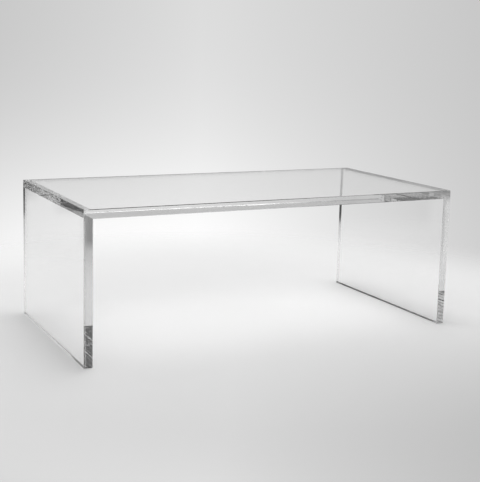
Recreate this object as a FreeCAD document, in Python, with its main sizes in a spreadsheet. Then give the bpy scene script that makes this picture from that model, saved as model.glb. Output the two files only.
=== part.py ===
"""Waterfall coffee table in clear cast acrylic.

Three flat panels cut from one thickness of sheet make an upside-down U. The top
and the two legs meet in 45 degree mitres, and a thin film of cured acrylic cement
fills each mitre from the bevelled outer corner to the inner corner. Every exposed
edge has the same polished bevel. Nothing moves, and there are no fasteners.

Frame: millimetres, +X along the table, +Y from its front edge to its back edge,
+Z up. The origin is on the floor, midway between the legs and midway in depth.
"""
import FreeCAD, Part
import math
import os

import Sketcher

OUTPUT_FOLDER = "parts"

# alias, value in millimetres, what it measures
DRIVING_SIZES = [
    ("table_length", 1200.0, "outer face of one leg to outer face of the other"),
    ("table_depth", 600.0, "front edge to back edge, the same for all three panels"),
    ("table_height", 430.0, "floor to the upper face of the top panel"),
    ("sheet_thickness", 26.0, "the cast sheet that all three panels are cut from"),
    ("edge_bevel", 1.5, "width and height of the 45 degree bevel on every exposed edge"),
    ("cement_film", 0.3, "cured cement in each mitre, measured square to the joint"),
]

doc = FreeCAD.newDocument("waterfall_coffee_table")


class Size:
    """A length that knows both its number and its formula on the spreadsheet."""

    def __init__(self, number, formula):
        self.number = number
        self.formula = formula

    def __add__(self, other):
        return Size(self.number + other.number, f"({self.formula} + {other.formula})")

    def __sub__(self, other):
        return Size(self.number - other.number, f"({self.formula} - {other.formula})")

    def __neg__(self):
        return Size(-self.number, f"(-1 * {self.formula})")

    def __truediv__(self, parts):
        return Size(self.number / parts, f"({self.formula} / {parts})")


def make_spreadsheet():
    """One row for each driving size: its name, its value and what it measures."""
    sheet = doc.addObject("Spreadsheet::Sheet", "Sizes")
    for row, (alias, value, meaning) in enumerate(DRIVING_SIZES, start=1):
        sheet.set(f"A{row}", alias)
        sheet.set(f"B{row}", str(value))
        sheet.set(f"C{row}", meaning)
        sheet.setAlias(f"B{row}", alias)
    doc.recompute()
    return {alias: Size(value, f"Sizes.{alias}") for alias, value, _ in DRIVING_SIZES}


sizes = make_spreadsheet()
ZERO = Size(0.0, "0")
LENGTH = sizes["table_length"]
DEPTH = sizes["table_depth"]
HEIGHT = sizes["table_height"]
THICKNESS = sizes["sheet_thickness"]
BEVEL = sizes["edge_bevel"]
# Each mitre face stands off the film's middle by half the film, which is this far in X or Z
SETBACK = sizes["cement_film"] / math.sqrt(2)


# ---------------------------------------------------------------- building blocks

def new_body(label):
    body = doc.addObject("PartDesign::Body", label)
    body.Label = label
    return body


def draw_profile(body, corners):
    """A closed, fully constrained outline on the body's XZ plane, from (x, z) sizes."""
    sketch = body.newObject("Sketcher::SketchObject", body.Label + "_profile")
    xz_plane = next(f for f in body.Origin.OriginFeatures if f.Role == "XZ_Plane")
    sketch.AttachmentSupport = [(xz_plane, "")]
    sketch.MapMode = "FlatFace"
    points = [FreeCAD.Vector(x.number, z.number, 0) for x, z in corners]
    count = len(points)
    for i in range(count):
        sketch.addGeometry(Part.LineSegment(points[i], points[(i + 1) % count]), False)
    for i in range(count):
        sketch.addConstraint(Sketcher.Constraint("Coincident", i, 2, (i + 1) % count, 1))
    for i, (x, z) in enumerate(corners):
        for kind, size in (("DistanceX", x), ("DistanceY", z)):
            held = Sketcher.Constraint(kind, -1, 1, i, 1, size.number)
            index = sketch.addConstraint(held)
            sketch.setExpression(f"Constraints[{index}]", size.formula)
    doc.recompute()
    return sketch


def pad_through_depth(body, sketch):
    """Pads the profile both ways from the middle of the table's depth."""
    pad = body.newObject("PartDesign::Pad", body.Label + "_pad")
    pad.Profile = sketch
    pad.SideType = "Symmetric"
    pad.setExpression("Length", DEPTH.formula)
    doc.recompute()
    return pad


def bevel(body, base, is_exposed):
    """Bevels every edge of the base that passes the test on its two end points."""
    names = [
        f"Edge{number}"
        for number, edge in enumerate(base.Shape.Edges, start=1)
        if is_exposed([vertex.Point for vertex in edge.Vertexes])
    ]
    chamfer = body.newObject("PartDesign::Chamfer", base.Label + "_bevel")
    chamfer.Base = (base, names)
    chamfer.setExpression("Size", BEVEL.formula)
    doc.recompute()
    return chamfer


def lies_on(points, distance):
    """True if both ends of an edge are on the plane that the distance is measured from."""
    return all(math.isclose(distance(p), 0.0, abs_tol=1e-6) for p in points)


def on_front_or_back(points):
    return any(lies_on(points, lambda p: p.y - side * DEPTH.number / 2) for side in (-1, 1))


def stand_at_end(body, side):
    """Stands a leg or a film at its end of the table.

    Both are drawn with x growing inwards from the outer face of the leg, so the one
    on the right is turned half round.
    """
    turn, end = {"left": (0, -(LENGTH / 2)), "right": (180, LENGTH / 2)}[side]
    up = FreeCAD.Vector(0, 0, 1)
    body.Placement = FreeCAD.Placement(FreeCAD.Vector(0, 0, 0), FreeCAD.Rotation(up, turn))
    body.setExpression("Placement.Base.x", end.formula)
    doc.recompute()


# ---------------------------------------------------------------- the pieces

def make_top_panel():
    """The top: full length at its upper face, undercut by the mitre at each end."""
    body = new_body("top_panel")
    inward_and_down = [
        (BEVEL, ZERO),
        ((BEVEL + SETBACK) / 2, (BEVEL - SETBACK) / 2),
        (THICKNESS + SETBACK, THICKNESS),
    ]
    half = LENGTH / 2
    right_end = [(half - inward, HEIGHT - down) for inward, down in inward_and_down]
    left_end = [(inward - half, HEIGHT - down) for inward, down in inward_and_down]
    pad = pad_through_depth(body, draw_profile(body, right_end + left_end[::-1]))

    def on_mitre(points):
        return any(
            lies_on(points, lambda p: p.z - HEIGHT.number + half.number - end * p.x - SETBACK.number)
            for end in (-1, 1)
        )

    bevel(body, pad, lambda points: on_front_or_back(points) and not on_mitre(points))
    return body


def make_leg(side):
    """A leg: an upright panel whose upper end is cut to the mitre."""
    body = new_body(side + "_leg_panel")
    outline = [
        (ZERO, ZERO),
        (THICKNESS, ZERO),
        (THICKNESS, HEIGHT - THICKNESS - SETBACK),
        ((BEVEL - SETBACK) / 2, HEIGHT - (BEVEL + SETBACK) / 2),
        (ZERO, HEIGHT - BEVEL),
    ]
    pad = pad_through_depth(body, draw_profile(body, outline))

    def on_mitre(points):
        return lies_on(points, lambda p: p.x + p.z - HEIGHT.number + SETBACK.number)

    def on_floor(points):
        return lies_on(points, lambda p: p.z)

    bevel(
        body,
        pad,
        lambda points: on_floor(points) or (on_front_or_back(points) and not on_mitre(points)),
    )
    stand_at_end(body, side)
    return body


def make_cement_film(side):
    """The cured cement in a mitre, flush with the panels at its four sides."""
    body = new_body(side + "_mitre_cement")
    outer_above, outer_below = (BEVEL - SETBACK) / 2, (BEVEL + SETBACK) / 2
    outline = [
        (outer_above, HEIGHT - outer_below),
        (THICKNESS, HEIGHT - THICKNESS - SETBACK),
        (THICKNESS + SETBACK, HEIGHT - THICKNESS),
        (outer_below, HEIGHT - outer_above),
    ]
    pad = pad_through_depth(body, draw_profile(body, outline))

    def at_outer_corner(points):
        outer_end = outline[0][1] - outline[0][0]
        return lies_on(points, lambda p: p.z - p.x - outer_end.number)

    def at_inner_corner(points):
        inner_end = outline[1][1] - outline[1][0]
        return lies_on(points, lambda p: p.z - p.x - inner_end.number)

    outer = bevel(body, pad, lambda points: on_front_or_back(points) and at_outer_corner(points))
    inner = bevel(body, outer, lambda points: on_front_or_back(points) and at_inner_corner(points))
    # The bevels of the two panels run together here at the slope of the mitre
    inner.ChamferType = "Two distances"
    inner.setExpression("Size2", f"{BEVEL.formula} * {math.sqrt(2)}")
    stand_at_end(body, side)
    return body


# ---------------------------------------------------------------- checks and output

def check_document():
    for item in doc.Objects:
        if "Invalid" in item.State or "Error" in item.State:
            raise RuntimeError(f"{item.Label} did not build: {item.State}")


def write_piece(body):
    shape = body.Shape
    if shape.isNull() or not shape.isValid() or len(shape.Solids) != 1:
        raise RuntimeError(f"{body.Label} is not one valid solid")
    shape.exportStep(os.path.join(OUTPUT_FOLDER, body.Label + ".step"))
    print(f"{body.Label}: {len(shape.Faces)} faces, bounds {shape.BoundBox}")


pieces = [make_top_panel()]
for end_name in ("left", "right"):
    pieces.append(make_leg(end_name))
    pieces.append(make_cement_film(end_name))
doc.recompute()
check_document()

os.makedirs(OUTPUT_FOLDER, exist_ok=True)
for piece in pieces:
    write_piece(piece)
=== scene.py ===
import collections
import math

import bpy
import mathutils
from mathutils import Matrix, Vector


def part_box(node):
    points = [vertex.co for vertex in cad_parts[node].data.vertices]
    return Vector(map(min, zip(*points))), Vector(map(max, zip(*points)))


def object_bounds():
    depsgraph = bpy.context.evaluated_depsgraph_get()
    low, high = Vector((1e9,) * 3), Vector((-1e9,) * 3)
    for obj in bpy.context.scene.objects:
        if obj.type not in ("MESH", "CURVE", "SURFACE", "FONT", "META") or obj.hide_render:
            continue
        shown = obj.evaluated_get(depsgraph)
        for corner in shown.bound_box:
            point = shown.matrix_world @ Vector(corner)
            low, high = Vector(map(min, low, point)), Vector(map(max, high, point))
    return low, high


# The looks of a waterfall coffee table in clear acrylic. The CAD meshes are shown as they are,
# in one clear material, made once for the panels and once for the cement. Clear acrylic shows
# little but what stands around it, so the rest of the file is the studio. Metres, +X along the
# table, +Y to its back, +Z up.

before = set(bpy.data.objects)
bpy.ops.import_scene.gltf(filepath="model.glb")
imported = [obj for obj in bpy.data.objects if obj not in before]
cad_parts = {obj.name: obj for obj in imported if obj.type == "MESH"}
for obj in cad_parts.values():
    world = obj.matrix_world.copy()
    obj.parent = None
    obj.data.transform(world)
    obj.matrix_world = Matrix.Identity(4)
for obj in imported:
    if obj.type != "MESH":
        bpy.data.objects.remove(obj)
cad_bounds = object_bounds()

scene = bpy.context.scene

# ---------------------------------------------------------------- sizes, in metres
PANELS = ("top_panel", "left_leg_panel", "right_leg_panel")
FILMS = ("left_mitre_cement", "right_mitre_cement")
LENGTH, DEPTH, HEIGHT = (cad_bounds[1][i] - cad_bounds[0][i] for i in range(3))
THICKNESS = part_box("left_leg_panel")[1].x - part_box("left_leg_panel")[0].x
BEVEL = 0.0015              # the same as edge_bevel in the CAD


# ---------------------------------------------------------------- node helpers
class Graph:
    """A node tree, with the few calls that the materials and the studio below need."""

    def __init__(self, tree):
        self.tree = tree
        tree.nodes.clear()

    def node(self, kind, **settings):
        made = self.tree.nodes.new(kind)
        for name, value in settings.items():
            setattr(made, name, value)
        return made

    def feed(self, socket, value):
        if isinstance(value, bpy.types.NodeSocket):
            self.tree.links.new(value, socket)
        else:
            socket.default_value = value

    def math(self, operation, *values):
        made = self.node("ShaderNodeMath", operation=operation)
        for socket, value in zip(made.inputs, values):
            self.feed(socket, value)
        return made.outputs[0]

    def times(self, first, *others):
        for other in others:
            first = self.math("MULTIPLY", first, other)
        return first

    def most(self, first, *others):
        for other in others:
            first = self.math("MAXIMUM", first, other)
        return first

    def rest(self, share):
        return self.math("SUBTRACT", 1.0, share)

    def over(self, value, limit):
        return self.math("GREATER_THAN", value, limit)

    def under(self, value, limit):
        return self.math("LESS_THAN", value, limit)

    def between(self, value, low, high):
        return self.times(self.over(value, low), self.under(value, high))

    def vector(self, x, y, z):
        made = self.node("ShaderNodeCombineXYZ")
        for socket, value in zip(made.inputs, (x, y, z)):
            self.feed(socket, value)
        return made.outputs[0]

    def split(self, vector):
        made = self.node("ShaderNodeSeparateXYZ")
        self.feed(made.inputs[0], vector)
        return made.outputs

    def dot(self, vector, direction):
        made = self.node("ShaderNodeVectorMath", operation="DOT_PRODUCT")
        self.feed(made.inputs[0], vector)
        made.inputs[1].default_value = direction
        return made.outputs["Value"]

    def span(self, value, low, high, to_low=0.0, to_high=1.0):
        """A smooth step from to_low at low to to_high at high."""
        made = self.node("ShaderNodeMapRange", interpolation_type="SMOOTHSTEP")
        self.feed(made.inputs["Value"], value)
        made.inputs["From Min"].default_value = low
        made.inputs["From Max"].default_value = high
        made.inputs["To Min"].default_value = to_low
        made.inputs["To Max"].default_value = to_high
        return made.outputs["Result"]

    def ramp(self, value, stops):
        """A number read from (position, number) stops."""
        made = self.node("ShaderNodeValToRGB")
        self.feed(made.inputs["Fac"], value)
        elements = made.color_ramp.elements
        while len(elements) < len(stops):
            elements.new(0.5)
        for element, (position, tone) in zip(elements, stops):
            element.position = position
            element.color = grey(tone)
        return self.math("ADD", made.outputs["Color"], 0.0)

    def noise(self, where, scale, detail):
        made = self.node("ShaderNodeTexNoise")
        self.feed(made.inputs["Vector"], where)
        made.inputs["Scale"].default_value = scale
        made.inputs["Detail"].default_value = detail
        made.inputs["Roughness"].default_value = 0.5
        return made.outputs["Fac"]

    def streaks(self, first, second, seed, detail):
        """Noise over two directions, each given as a place and its cells per metre."""
        scaled = [self.times(place, per_metre) for place, per_metre in (first, second)]
        return self.noise(self.vector(*scaled, seed), 1.0, detail)

    def mix(self, factor, first, second):
        """A mix of two numbers."""
        made = self.node("ShaderNodeMix", data_type="FLOAT")
        self.feed(made.inputs[0], factor)
        self.feed(made.inputs[2], first)
        self.feed(made.inputs[3], second)
        return made.outputs[0]

    def blend(self, factor, first, second):
        """A mix of two colours."""
        made = self.node("ShaderNodeMix", data_type="RGBA")
        self.feed(made.inputs["Factor"], factor)
        self.feed(made.inputs["A"], first)
        self.feed(made.inputs["B"], second)
        return made.outputs["Result"]

    def shader(self, kind, colour):
        made = self.node(kind)
        self.feed(made.inputs["Color"], colour)
        return made.outputs[0]

    def either(self, factor, first, second):
        """A mix of two shaders."""
        made = self.node("ShaderNodeMixShader")
        self.feed(made.inputs[0], factor)
        self.tree.links.new(first, made.inputs[1])
        self.tree.links.new(second, made.inputs[2])
        return made.outputs[0]


def grey(tone):
    return (tone, tone, tone, 1.0)


# ---------------------------------------------------------------- where a point is on the table
# Sizes of the parts of a face's normal. A bevel has two parts of 0.707, and the small facet
# where three bevels meet has three parts of 0.577.
SLANTED = (0.5, 0.9)
SQUARE, TURNED_AWAY = 0.9, 0.3
BEVEL_OR_FACET, NO_FACET = 0.5, 0.6
ACROSS_MITRE = 1.4          # two parts of a normal square to the mitre differ by 1.414

BEVEL_REACH = BEVEL + 0.0002
FOOT_REACH = 0.0005         # the feet's undersides lie below this height
FILM_REACH = 0.0008         # the glued faces lie within this of the mitre's middle


class Surface:
    """The shaded point's place and its face's normal, and masks of 0 or 1 for where it is."""

    def __init__(self, g):
        self.point = g.node("ShaderNodeTexCoord").outputs["Object"]
        self.x, self.y, self.z = g.split(self.point)
        true_normal = g.node("ShaderNodeNewGeometry").outputs["True Normal"]
        self.normal = dict(zip("XYZ", g.split(true_normal)))
        self.lean = {axis: g.math("ABSOLUTE", part) for axis, part in self.normal.items()}
        self.inward = g.math("SUBTRACT", LENGTH / 2, g.math("ABSOLUTE", self.x))
        self.down = g.math("SUBTRACT", HEIGHT, self.z)
        self.from_edge = g.math("SUBTRACT", DEPTH / 2, g.math("ABSOLUTE", self.y))
        self.left = g.under(self.x, 0.0)
        self.right = g.rest(self.left)
        self.in_top = g.over(self.inward, self.down)

        # Faces: the front and back edges, the feet's undersides, and three kinds of bevel
        self.edge = g.over(self.lean["Y"], NO_FACET)
        self.foot = g.times(g.over(self.lean["Z"], SQUARE), g.under(self.z, FOOT_REACH))
        slanting = g.between(self.lean["Z"], *SLANTED)
        self.foot_bevel = g.times(slanting, g.under(self.z, BEVEL_REACH))
        self.top_bevel = g.times(slanting, g.under(self.down, BEVEL_REACH))
        upright = g.under(self.lean["Z"], TURNED_AWAY)
        self.upright_bevel = g.times(upright, g.between(self.lean["X"], *SLANTED))
        self.faces_front_or_back = g.over(self.lean["Y"], BEVEL_OR_FACET)

        # The faces glued in a mitre lie on it and are square to it
        off_mitre = g.math("ABSOLUTE", g.math("SUBTRACT", self.inward, self.down))
        outward = g.times(self.normal["X"], g.math("SIGN", self.x))
        across_mitre = g.math("ABSOLUTE", g.math("SUBTRACT", outward, self.normal["Z"]))
        self.glued = g.times(g.under(off_mitre, FILM_REACH), g.over(across_mitre, ACROSS_MITRE))


# ---------------------------------------------------------------- the acrylic's shape in small
ARRIS_TURN = 0.55           # how far the normal turns at an arris towards the next face
ARRIS_SHARE = 0.22          # the part of a bevel's width that is rounded at each arris
BEVEL_PART = math.sqrt(0.5)     # the size of the two parts of a bevel's normal
BEVEL_PART_SPREAD = 0.1
BUFFING_ALONG, BUFFING_ACROSS = 9.0, 620.0      # cells per metre
BUFFING_DEPTH = 2.5e-6
SCRATCH_DEPTH = 2e-5
WAVE_DEPTH = 1.2e-5         # cast sheet is never quite flat
WAVES_PER_METRE = 22.0


def rounded_normal(g, at):
    """The face's normal, turned towards the next face near each arris of a bevel."""

    def turn(depth):
        across = g.math("DIVIDE", depth, BEVEL)
        first = g.span(across, 0.0, ARRIS_SHARE, ARRIS_TURN, 0.0)
        last = g.span(across, 1.0 - ARRIS_SHARE, 1.0, 0.0, ARRIS_TURN)
        return g.math("SUBTRACT", first, last)

    slanted = {}
    for axis, size in at.lean.items():
        off_slope = g.math("SUBTRACT", size, BEVEL_PART)
        slanted[axis] = g.under(g.math("ABSOLUTE", off_slope), BEVEL_PART_SPREAD)
    from_end = g.math("MINIMUM", at.z, at.down)
    along_y = g.times(turn(at.from_edge), slanted["Y"])
    along_z = g.times(turn(from_end), slanted["X"], slanted["Z"])
    less_y = g.rest(along_y)
    grow = {
        "X": g.math("SUBTRACT", less_y, along_z),
        "Y": g.math("ADD", 1.0, along_y),
        "Z": g.math("ADD", less_y, along_z),
    }
    turned = g.vector(*(g.times(at.normal[axis], grow[axis]) for axis in "XYZ"))
    unit = g.node("ShaderNodeVectorMath", operation="NORMALIZE")
    g.feed(unit.inputs[0], turned)
    return unit.outputs[0]


def buffing(g, at):
    """Fine lines along each polished edge: along X on the top, up and down on the legs."""
    along = g.mix(at.in_top, at.z, at.x)
    across = g.mix(at.in_top, at.x, at.z)
    lines = g.streaks((along, BUFFING_ALONG), (across, BUFFING_ACROSS), seed=0.0, detail=3.0)
    return g.times(lines, at.edge)


def surface_normal(g, at, worn):
    """The rounded normal with the buffing, the scratches and the sheet's waves on it."""
    height = g.math("ADD", g.times(buffing(g, at), BUFFING_DEPTH), g.times(worn, SCRATCH_DEPTH))
    waves = g.noise(at.point, WAVES_PER_METRE, 1.0)
    height = g.math("ADD", height, g.times(waves, WAVE_DEPTH))
    bump = g.node("ShaderNodeBump")
    bump.inputs["Strength"].default_value = 1.0
    bump.inputs["Distance"].default_value = 1.0
    g.feed(bump.inputs["Height"], height)
    g.feed(bump.inputs["Normal"], rounded_normal(g, at))
    return bump.outputs[0]


# ---------------------------------------------------------------- wear, grit and painted shade
# Noise lies round 0.5. Its size is in cells per metre. A range of two numbers runs from 0 at
# the first to 1 at the second, and a range of four ends with the two shares it runs between.
SawMarks = collections.namedtuple("SawMarks", "lean seed per_metre kept_above")
SAW_MARKS = (
    SawMarks(lean=0.02, seed=0.0, per_metre=150.0, kept_above=0.52),
    SawMarks(lean=-0.12, seed=9.0, per_metre=120.0, kept_above=0.58),
)
MARK_ALONG = 2.0
MARK_WIDTH = (0.03, 0.08, 1.0, 0.0)             # off the noise's middle
BREAKS_ALONG, BREAKS_ACROSS, BREAKS_SEED = 11.0, 90.0, 5.0
BREAKS_SOFTNESS = 0.04
MARK_SHARE = 0.25           # a mark is worn this much, and a nick is worn wholly

RIM = (0.002, 0.006, 1.0, 0.0)                  # metres in from the side of a foot
END_SHRINK = 0.12           # depths from the front and back count as this much of themselves
CHIPS_ACROSS, CHIPS_ALONG = 130.0, 34.0
NICKED = (0.57, 0.60)
GRITTY = (0.46, 0.50, 0.6, 0.0)                 # where there are no nicks

GROUND_PER_METRE = 160.0
GROUND = (0.38, 0.58, 0.35, 0.95)

# Painted shade: a dark line along the top's front and back bevels
TOP_SHADE_BY_X = (-0.1, 0.3, 0.95, 0.25)
NO_LINE_AT_MITRE = (0.014, 0.020)                    # metres in from the outer face
# Darker on the upper part of the legs' rear corners
CORNER_DARK_BY_Y = (0.2, 0.3)
CORNER_DARK_BY_Z = (0.30, 0.375, 0.0, 0.9)
CORNER_DARK_BY_X = (-0.1, 0.1, 1.0, 0.5)
# Painted contact shade on the feet's bevels, where they meet the floor
TOE_SHADE = 0.8
HEEL_START = 0.02           # metres in from the outer face
HEEL_SHADE_BY_Y = (-0.05, 0.12, 0.0, 0.85)
PATCHES_ACROSS, PATCHES_ALONG, PATCHES_SEED = 60.0, 17.0, 11.0
PATCHED = (0.49, 0.53, 0.0, 0.35)


def saw_marks(g, at, marks):
    """Long thin lines under the feet, where a noise crosses its middle, kept here and there."""
    slant = g.math("ADD", at.x, g.times(at.y, marks.lean))
    wander = g.streaks((at.y, MARK_ALONG), (slant, marks.per_metre), marks.seed, detail=0.0)
    line = g.span(g.math("ABSOLUTE", g.math("SUBTRACT", wander, 0.5)), *MARK_WIDTH)
    broken = g.streaks(
        (at.y, BREAKS_ALONG), (slant, BREAKS_ACROSS), marks.seed + BREAKS_SEED, detail=0.0
    )
    return g.times(line, g.span(broken, marks.kept_above, marks.kept_above + BREAKS_SOFTNESS))


def foot_wear(g, at):
    """Masks for the scratched and nicked parts of the feet, and for the grit in their rims."""
    scratch = g.most(*(saw_marks(g, at, marks) for marks in SAW_MARKS))
    to_side = g.math("MINIMUM", at.inward, g.math("SUBTRACT", THICKNESS, at.inward))
    to_end = g.times(at.from_edge, END_SHRINK)
    rim = g.span(g.math("MINIMUM", to_side, to_end), *RIM)
    chips = g.streaks((at.x, CHIPS_ACROSS), (at.y, CHIPS_ALONG), seed=0.0, detail=3.0)
    nick = g.times(g.span(chips, *NICKED), rim)
    worn = g.times(g.most(g.times(scratch, MARK_SHARE), nick), at.foot)
    grit = g.times(g.span(chips, *GRITTY), rim, at.foot)
    return worn, grit


def ground_share(g, at):
    """How frosted the left foot's outer bevel is: it was ground and never polished."""
    bevel = g.times(at.foot_bevel, g.under(at.inward, BEVEL_REACH), at.left)
    return g.times(bevel, g.span(g.noise(at.point, GROUND_PER_METRE, detail=1.0), *GROUND))


def grit_and_painted_shade_share(g, at, grit):
    """How much dark coat covers the surface: grit, painted shade at bevels and feet, darker
    corners and patches.
    """
    # Painted shade: a dark line along the front and back bevels of the top, less to the right,
    # and not at the mitres
    top_line = g.times(at.top_bevel, at.faces_front_or_back)
    top_line = g.times(top_line, g.span(at.x, *TOP_SHADE_BY_X), g.span(at.inward, *NO_LINE_AT_MITRE))
    # Darker on the upper part of each leg's rear corners, less on the right leg
    corner = g.times(at.upright_bevel, g.span(at.y, *CORNER_DARK_BY_Y))
    corner = g.times(corner, g.span(at.z, *CORNER_DARK_BY_Z), g.span(at.x, *CORNER_DARK_BY_X))
    # Painted contact shade on the feet's front and back bevels, and on the right foot's inner
    # one towards the back
    toe = g.times(at.foot_bevel, at.faces_front_or_back, TOE_SHADE)
    heel = g.times(at.foot_bevel, g.over(at.inward, HEEL_START), at.right)
    heel = g.times(heel, g.span(at.y, *HEEL_SHADE_BY_Y))
    # Darker in patches under the right foot
    patches = g.streaks((at.x, PATCHES_ACROSS), (at.y, PATCHES_ALONG), PATCHES_SEED, detail=1.0)
    dark_patches = g.times(at.foot, at.right, g.span(patches, *PATCHED))
    return g.most(top_line, corner, toe, heel, dark_patches, grit)


# ---------------------------------------------------------------- shaders of the acrylic
REFRACTION = 1.49
TINT, TINT_DENSITY = 0.55, 0.85
EDGE_ROUGHNESS = 0.0015
WORN_ROUGHNESS = 0.3
WORN_WHITE = 0.9            # how white a nick is
SHOWN_THROUGH = 0.4         # the part of broken or cloudy acrylic's light that comes through it
GROUND_THROUGH = 0.8        # the same for the ground bevel
CRUSHED_TONE = 0.95
# The dark coat's colour: grit, painted shade at bevels and feet, and darker corners and patches
GRIT_AND_SHADE_TONE = 0.03
# What a shadow ray keeps at one face, as (slant, share), with 0 for a ray square to it
SHADOW_KEPT = ((0.0, 0.975), (0.6, 0.92), (1.0, 0.3))
EDGE_SHADOW = 0.5           # an edge bends half of the lamp's light away

# The cement. Its ranges read like those of the dark coat
STREAKS_ALONG, STREAKS_UP = 42.0, 170.0
MORE_STREAKS_BY_Y = (-0.06, 0.22, 0.05, -0.02)
STREAKED = (0.55, 0.60)
CLOUDY_BY_Y = (-0.09, -0.06, 0.10, 1.0)
CLOUDINESS = 0.9
STREAK_TONE, STREAK_TONE_SEED = (0.44, 0.52, 0.20, 1.0), 7.0
VOIDS_ALONG, VOIDS_UP = 67.2, 272.0
VOID = (0.67, 0.70)


def polished(g, at, worn):
    glass = g.node("ShaderNodeBsdfPrincipled")
    glass.inputs["Base Color"].default_value = grey(1.0)
    glass.inputs["IOR"].default_value = REFRACTION
    glass.inputs["Transmission Weight"].default_value = 1.0
    rough = g.math("ADD", g.times(at.edge, EDGE_ROUGHNESS), g.times(worn, WORN_ROUGHNESS))
    g.feed(glass.inputs["Roughness"], rough)
    g.feed(glass.inputs["Normal"], surface_normal(g, at, worn))
    return glass.outputs[0]


def scattering(g, tone, through):
    """Broken or cloudy acrylic: it scatters light back, and some of it on through."""
    back = g.shader("ShaderNodeBsdfDiffuse", tone)
    onward = g.shader("ShaderNodeBsdfTranslucent", tone)
    return g.either(through, back, onward)


def weathered(g, at):
    """The polished acrylic with its nicks, its ground bevel and its dark coat of grit and
    painted shade.
    """
    worn, grit = foot_wear(g, at)
    crushed = scattering(g, grey(CRUSHED_TONE), SHOWN_THROUGH)
    body = g.either(g.times(worn, WORN_WHITE), polished(g, at, worn), crushed)
    frosted = scattering(g, grey(CRUSHED_TONE), GROUND_THROUGH)
    body = g.either(ground_share(g, at), body, frosted)
    # Dark coat: grit, and painted shade along the top's bevels and at the feet
    grit_and_shade = g.shader("ShaderNodeBsdfDiffuse", grey(GRIT_AND_SHADE_TONE))
    return g.either(grit_and_painted_shade_share(g, at, grit), body, grit_and_shade)


def with_clear_shadow(g, at, body):
    """Lets lamp light through, less what the faces mirror and the edges bend away."""
    facing = g.node("ShaderNodeLayerWeight")
    facing.inputs["Blend"].default_value = 0.5
    kept = g.ramp(facing.outputs["Facing"], SHADOW_KEPT)
    kept = g.times(kept, g.rest(g.times(at.edge, EDGE_SHADOW)))
    shade = g.shader("ShaderNodeBsdfTransparent", kept)
    path = g.node("ShaderNodeLightPath")
    return g.either(path.outputs["Is Shadow Ray"], body, shade)


def with_mitre(g, at, body):
    """Makes the glued faces bend no light, because the cement has the acrylic's own index.

    The left mitre's cement is cloudy in streaks, more of them towards the front of the cloudy
    part. Both mitres hold small voids, where the acrylic's own face shows again. Streaks and
    voids are drawn on the leg's side of the cement only.
    """
    in_leg = g.under(at.inward, at.down)
    along, up = (at.y, STREAKS_ALONG), (at.z, STREAKS_UP)
    more = g.span(at.y, *MORE_STREAKS_BY_Y)
    streaked = g.span(g.math("ADD", g.streaks(along, up, seed=0.0, detail=2.0), more), *STREAKED)
    haze = g.times(streaked, g.span(at.y, *CLOUDY_BY_Y), at.left, CLOUDINESS)
    tone = g.span(g.streaks(along, up, STREAK_TONE_SEED, detail=1.0), *STREAK_TONE)
    clear = g.shader("ShaderNodeBsdfTransparent", grey(1.0))
    cured = g.either(g.times(haze, in_leg), clear, scattering(g, tone, SHOWN_THROUGH))
    bubbles = g.streaks((at.y, VOIDS_ALONG), (at.z, VOIDS_UP), seed=0.0, detail=0.0)
    voids = g.times(g.span(bubbles, *VOID), in_leg)
    return g.either(g.times(at.glued, g.rest(voids)), body, cured)


def clear_material(name):
    material = bpy.data.materials.new(name)
    material.use_nodes = True
    g = Graph(material.node_tree)
    at = Surface(g)
    surface = with_clear_shadow(g, at, weathered(g, at))
    out = g.node("ShaderNodeOutputMaterial")
    g.feed(out.inputs["Surface"], with_mitre(g, at, surface))
    volume = g.node("ShaderNodeVolumeAbsorption")
    volume.inputs["Color"].default_value = grey(TINT)
    volume.inputs["Density"].default_value = TINT_DENSITY
    g.feed(out.inputs["Volume"], volume.outputs[0])
    return material


def dress(names, material):
    for name in names:
        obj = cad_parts[name]
        if not obj.material_slots:
            obj.data.materials.append(material)
        for slot in obj.material_slots:
            slot.material = material


dress(PANELS, clear_material("clear_acrylic"))
dress(FILMS, clear_material("cured_cement"))

# ---------------------------------------------------------------- camera
PIXELS_WIDE, PIXELS_HIGH = 480, 482
FOCAL_PIXELS = 1002.8
CENTRE_X_PIXEL, CENTRE_Y_PIXEL = 250.0, 205.0   # where the lens points in the picture
YAW, PITCH, ROLL = (math.radians(angle) for angle in (27.74, 9.07, 1.60))
EYE = (-1.414, -2.774, 0.865)
SENSOR_WIDTH_MM = 36.0      # goes with the picture's height, which is its longer side


def make_camera():
    forward = mathutils.Vector(
        (math.sin(YAW) * math.cos(PITCH), math.cos(YAW) * math.cos(PITCH), -math.sin(PITCH))
    )
    level = mathutils.Vector((math.cos(YAW), -math.sin(YAW), 0.0))
    upright = level.cross(forward)
    right = level * math.cos(ROLL) + upright * math.sin(ROLL)
    up = upright * math.cos(ROLL) - level * math.sin(ROLL)
    camera = bpy.data.cameras.new("camera")
    camera.sensor_fit = "AUTO"
    camera.sensor_width = SENSOR_WIDTH_MM
    camera.lens = FOCAL_PIXELS * SENSOR_WIDTH_MM / PIXELS_HIGH
    camera.shift_x = (PIXELS_WIDE / 2 - CENTRE_X_PIXEL) / PIXELS_HIGH
    camera.shift_y = (CENTRE_Y_PIXEL - PIXELS_HIGH / 2) / PIXELS_HIGH
    camera.clip_end = 100
    obj = bpy.data.objects.new("camera", camera)
    turn = mathutils.Matrix((right, up, -forward)).transposed().to_4x4()
    obj.matrix_world = mathutils.Matrix.Translation(EYE) @ turn
    scene.collection.objects.link(obj)
    scene.camera = obj


# ---------------------------------------------------------------- floor
FLOOR_RADIUS = 2.2
FLOOR_SIDES = 96
FLOOR_DROP = 0.0004         # clear of the feet, so that no two faces coincide
FLOOR_FADE = (0.9, 1.7)     # over these distances the studio below takes its place
FLOOR_GAIN = 0.975
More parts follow.
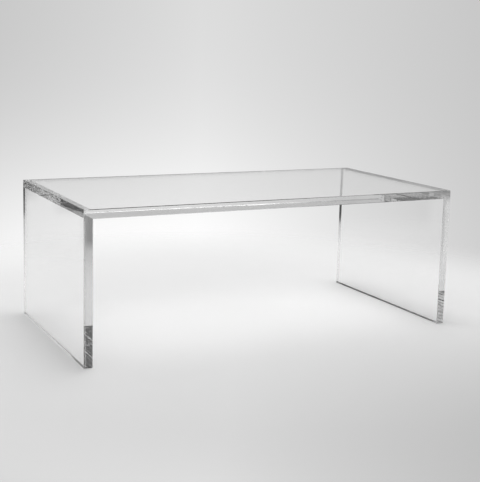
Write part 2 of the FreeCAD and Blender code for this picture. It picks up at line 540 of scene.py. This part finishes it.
# The floor's colour holds painted light: lighter away from the viewer and darker to the right,
# as the studio's light falls off
FLOOR_TONE = 0.906
TONE_AWAY = 0.033           # lighter by this for each metre away from the viewer
TONE_ASIDE = 0.03           # darker by this for each metre to the viewer's right
# On the right side it is darker by LESS_RIGHT less than that, and by MORE_NEAR more for each
# metre that the floor there is nearer to the viewer than NEAR_LIMIT
LESS_RIGHT, MORE_NEAR, NEAR_LIMIT = 0.0205, 0.15, 0.15
TONE_POWER = 2.2            # from a tone as written to the light that shows it


def floor_paper():
    material = bpy.data.materials.new("floor_paper")
    material.use_nodes = True
    g = Graph(material.node_tree)
    point = g.node("ShaderNodeTexCoord").outputs["Object"]
    away = g.dot(point, (math.sin(YAW), math.cos(YAW), 0.0))
    aside = g.dot(point, (math.cos(YAW), -math.sin(YAW), 0.0))
    # Painted falloff of the studio's light, in the paper's colour
    tone = g.math("ADD", FLOOR_TONE, g.times(away, TONE_AWAY))
    tone = g.math("SUBTRACT", tone, g.times(aside, TONE_ASIDE))
    nearer = g.math("MAXIMUM", g.math("SUBTRACT", NEAR_LIMIT, away), 0.0)
    darker = g.math("SUBTRACT", g.times(nearer, MORE_NEAR), LESS_RIGHT)
    tone = g.math("SUBTRACT", tone, g.times(g.math("MAXIMUM", aside, 0.0), darker))
    light = g.times(g.math("POWER", tone, TONE_POWER), FLOOR_GAIN)
    paper = g.shader("ShaderNodeBsdfDiffuse", light)
    clear = g.shader("ShaderNodeBsdfTransparent", grey(1.0))
    distance = g.node("ShaderNodeVectorMath", operation="LENGTH")
    g.feed(distance.inputs[0], point)
    out = g.node("ShaderNodeOutputMaterial")
    faded = g.span(distance.outputs["Value"], *FLOOR_FADE)
    g.feed(out.inputs["Surface"], g.either(faded, paper, clear))
    return material


def make_floor():
    mesh = bpy.data.meshes.new("studio_floor")
    angles = [2 * math.pi * i / FLOOR_SIDES for i in range(FLOOR_SIDES)]
    ring = [(FLOOR_RADIUS * math.cos(a), FLOOR_RADIUS * math.sin(a), 0.0) for a in angles]
    mesh.from_pydata(ring, [], [list(range(FLOOR_SIDES))])
    floor = bpy.data.objects.new("studio_floor", mesh)
    scene.collection.objects.link(floor)
    floor.location.z = -FLOOR_DROP
    floor.data.materials.append(floor_paper())


# ---------------------------------------------------------------- studio
# Directions are in degrees: azimuth from +Y towards +X, and rise from the horizon up. The
# viewer looks towards azimuth 28. A tone is a grey as it is written, 1 for white.

WALL_START = -85
# (azimuth, tone) round the horizon, as the acrylic shows it
WALL = (
    # to the left of the table, darkest in the middle
    (-85, 0.60), (-50, 0.20), (-40, 0.45), (-36.6, 0.74),
    # behind the table
    (-15, 0.80), (8, 0.74), (25, 0.86), (42, 0.77),
    # to the right of it
    (70, 0.97), (110, 0.92), (138, 1.04), (144, 0.83),
    # behind the viewer
    (150, 0.65), (190, 0.68), (235, 0.87), (275, 0.54),
)
# The same as the viewer sees it directly, with nothing but the backdrop
BACKDROP = (
    (-85, 0.80), (-15, 0.80), (8, 0.74), (25, 0.86), (42, 0.77), (70, 0.80), (275, 0.80),
)

# The pool of light where the backdrop meets the floor
GLOW_AZIMUTH, GLOW_WIDTH = 16.5, 19.8
GLOW_RISE, GLOW_WIDTH_BELOW, GLOW_WIDTH_ABOVE = -14.0, 12.0, 8.2
GLOW_TONE = 0.198
# A lighter band along that line, which falls off downwards and fades upwards
BAND_RISE, BAND_FALL, BAND_FADE = -12.86, 2.0, (-14.6, -11.1)
BAND_TONE = 0.093

# Higher up the tones become even: (rise where that starts, where it is done, tone)
UPPER_WALL = (6, 12, 0.86)
CEILING = (23.5, 33.5, 0.55)
OVERHEAD = (51, 63, 1.45)

# Dark and light cards and openings round the table. Each note says what shows the card most,
# or where the light of that direction falls.
Card = collections.namedtuple("Card", "azimuth half_width rise half_height tone")
CARD_SOFTNESS = 0.4
CARDS = (
    # behind the viewer
    Card(170, 13, -0.5, 9.5, 0.72),         # little from the viewer's side
    Card(-152, 13.5, 7.5, 3, 0.68),         # right half of the top's front edge
    Card(172.5, 26.5, -7.1, 2.6, 0.10),     # lines in the top's edges and in the left mitre
    Card(175, 26, 29, 8, 0.02),             # floor under the table, and the right foot
    # behind the table
    Card(28, 10.5, 17.5, 7, 0.05),          # both feet, and the floor in front of them
    Card(27, 7, 30.5, 3, 1.10),             # left part of the top's front edge
    Card(15.5, 2.2, 16.5, 2, 0.97),         # left foot's outer line
    # behind the table's left end
    Card(-24.5, 14, 19, 7.5, 0.39),         # foot of the left leg's front edge
    Card(-23, 4.8, -7, 4.5, 0.60),          # upper part of that edge
    Card(-12, 3.6, -5.6, 3.2, 0.60),        # rear end of the left mitre
    Card(-17.6, 0.9, -6, 3.6, 0.60),        # front end of the left mitre
    # further left
    Card(-38.5, 5, 8, 2.5, 0.50),           # right end of the top's front edge
    Card(-42, 4, -13.3, 5.2, 0.90),         # upper part of the right leg's front edge
    # high up to the left of the table
    Card(-95, 13, 31, 5.5, 0.10),           # floor under the table
    Card(-104, 15, 47, 3, 0.78),            # floor under the table
)
FILL_LIGHT = 0.6            # what the floor and other dull surfaces get from it directly


class Studio:
    """The tones of the studio in each direction, as sockets of the world's node tree."""

    def __init__(self, g):
        self.g = g
        x, y, z = g.split(g.node("ShaderNodeTexCoord").outputs["Generated"])
        self.azimuth = g.math("DEGREES", g.math("ARCTAN2", x, y))
        self.rise = g.math("DEGREES", g.math("ARCSINE", z))

    def off(self, azimuth):
        """Degrees from that azimuth, the short way round."""
        difference = self.g.math("SUBTRACT", self.azimuth, azimuth)
        return self.g.math("ABSOLUTE", self.g.math("WRAP", difference, 180.0, -180.0))

    def bell(self, off, width):
        share = self.g.math("DIVIDE", off, width)
        return self.g.math("POWER", math.e, self.g.times(share, share, -1.0))

    def horizon(self, stops):
        g = self.g
        past_start = g.math("WRAP", g.math("SUBTRACT", self.azimuth, WALL_START), 360.0, 0.0)
        placed = [((azimuth - WALL_START) / 360, tone) for azimuth, tone in stops]
        return g.ramp(g.math("DIVIDE", past_start, 360.0), placed)

    def glow(self):
        g = self.g
        off_rise = g.math("SUBTRACT", self.rise, GLOW_RISE)
        widths = (GLOW_WIDTH_BELOW, GLOW_WIDTH_ABOVE)
        below, above = (self.bell(off_rise, width) for width in widths)
        up_and_down = g.mix(g.over(self.rise, GLOW_RISE), below, above)
        return g.times(self.bell(self.off(GLOW_AZIMUTH), GLOW_WIDTH), up_and_down, GLOW_TONE)

    def band(self):
        g = self.g
        under_it = g.math("MINIMUM", g.math("SUBTRACT", self.rise, BAND_RISE), 0.0)
        fall = g.math("POWER", math.e, g.math("DIVIDE", under_it, BAND_FALL))
        return g.times(fall, BAND_TONE, g.span(self.rise, *BAND_FADE, 1.0, 0.0))

    def evened(self, tone, zone):
        start, done, even_tone = zone
        return self.g.mix(self.g.span(self.rise, start, done), tone, even_tone)

    def with_card(self, tone, card):
        g = self.g

        def inside(off, half):
            return g.span(off, half - CARD_SOFTNESS, half + CARD_SOFTNESS, 1.0, 0.0)

        off_rise = g.math("ABSOLUTE", g.math("SUBTRACT", self.rise, card.rise))
        across = inside(self.off(card.azimuth), card.half_width)
        return g.mix(g.times(across, inside(off_rise, card.half_height)), tone, card.tone)


def make_studio():
    world = bpy.data.worlds.new("studio")
    scene.world = world
    world.use_nodes = True
    g = Graph(world.node_tree)
    studio = Studio(g)
    light = g.math("ADD", studio.glow(), studio.band())
    backdrop = studio.evened(g.math("ADD", studio.horizon(BACKDROP), light), UPPER_WALL)
    tone = g.math("ADD", studio.horizon(WALL), light)
    for zone in (UPPER_WALL, CEILING, OVERHEAD):
        tone = studio.evened(tone, zone)
    for card in CARDS:
        tone = studio.with_card(tone, card)

    path = g.node("ShaderNodeLightPath")
    direct = path.outputs["Is Camera Ray"]
    seen = g.most(direct, path.outputs["Is Glossy Ray"], path.outputs["Is Transmission Ray"])
    colour = g.blend(seen, grey(FILL_LIGHT), g.math("POWER", tone, TONE_POWER))
    colour = g.blend(direct, colour, g.math("POWER", backdrop, TONE_POWER))
    background = g.node("ShaderNodeBackground")
    g.feed(background.inputs["Color"], colour)
    out = g.node("ShaderNodeOutputWorld")
    g.feed(out.inputs["Surface"], background.outputs[0])


# ---------------------------------------------------------------- lamp
SOFTBOX_SIZE = (2.0, 1.5)
SOFTBOX_WATTS = 57
SOFTBOX_PLACE = (0.5, 0.2, 3.4)


def make_softbox():
    """A soft lamp overhead. It throws the shadow and isn't mirrored in the table."""
    lamp = bpy.data.lights.new("overhead_softbox", "AREA")
    lamp.shape = "RECTANGLE"
    lamp.size, lamp.size_y = SOFTBOX_SIZE
    lamp.energy = SOFTBOX_WATTS
    obj = bpy.data.objects.new("overhead_softbox", lamp)
    obj.location = SOFTBOX_PLACE
    obj.visible_camera = False
    obj.visible_glossy = False
    obj.visible_transmission = False
    scene.collection.objects.link(obj)


# ---------------------------------------------------------------- the scene
BOUNCES = 64                # light crosses the sheets many times before it leaves an edge

make_camera()
make_floor()
make_studio()
make_softbox()
scene.view_settings.view_transform = "Standard"
scene.cycles.max_bounces = BOUNCES
scene.cycles.glossy_bounces = BOUNCES
scene.cycles.transmission_bounces = BOUNCES
scene.cycles.transparent_max_bounces = BOUNCES
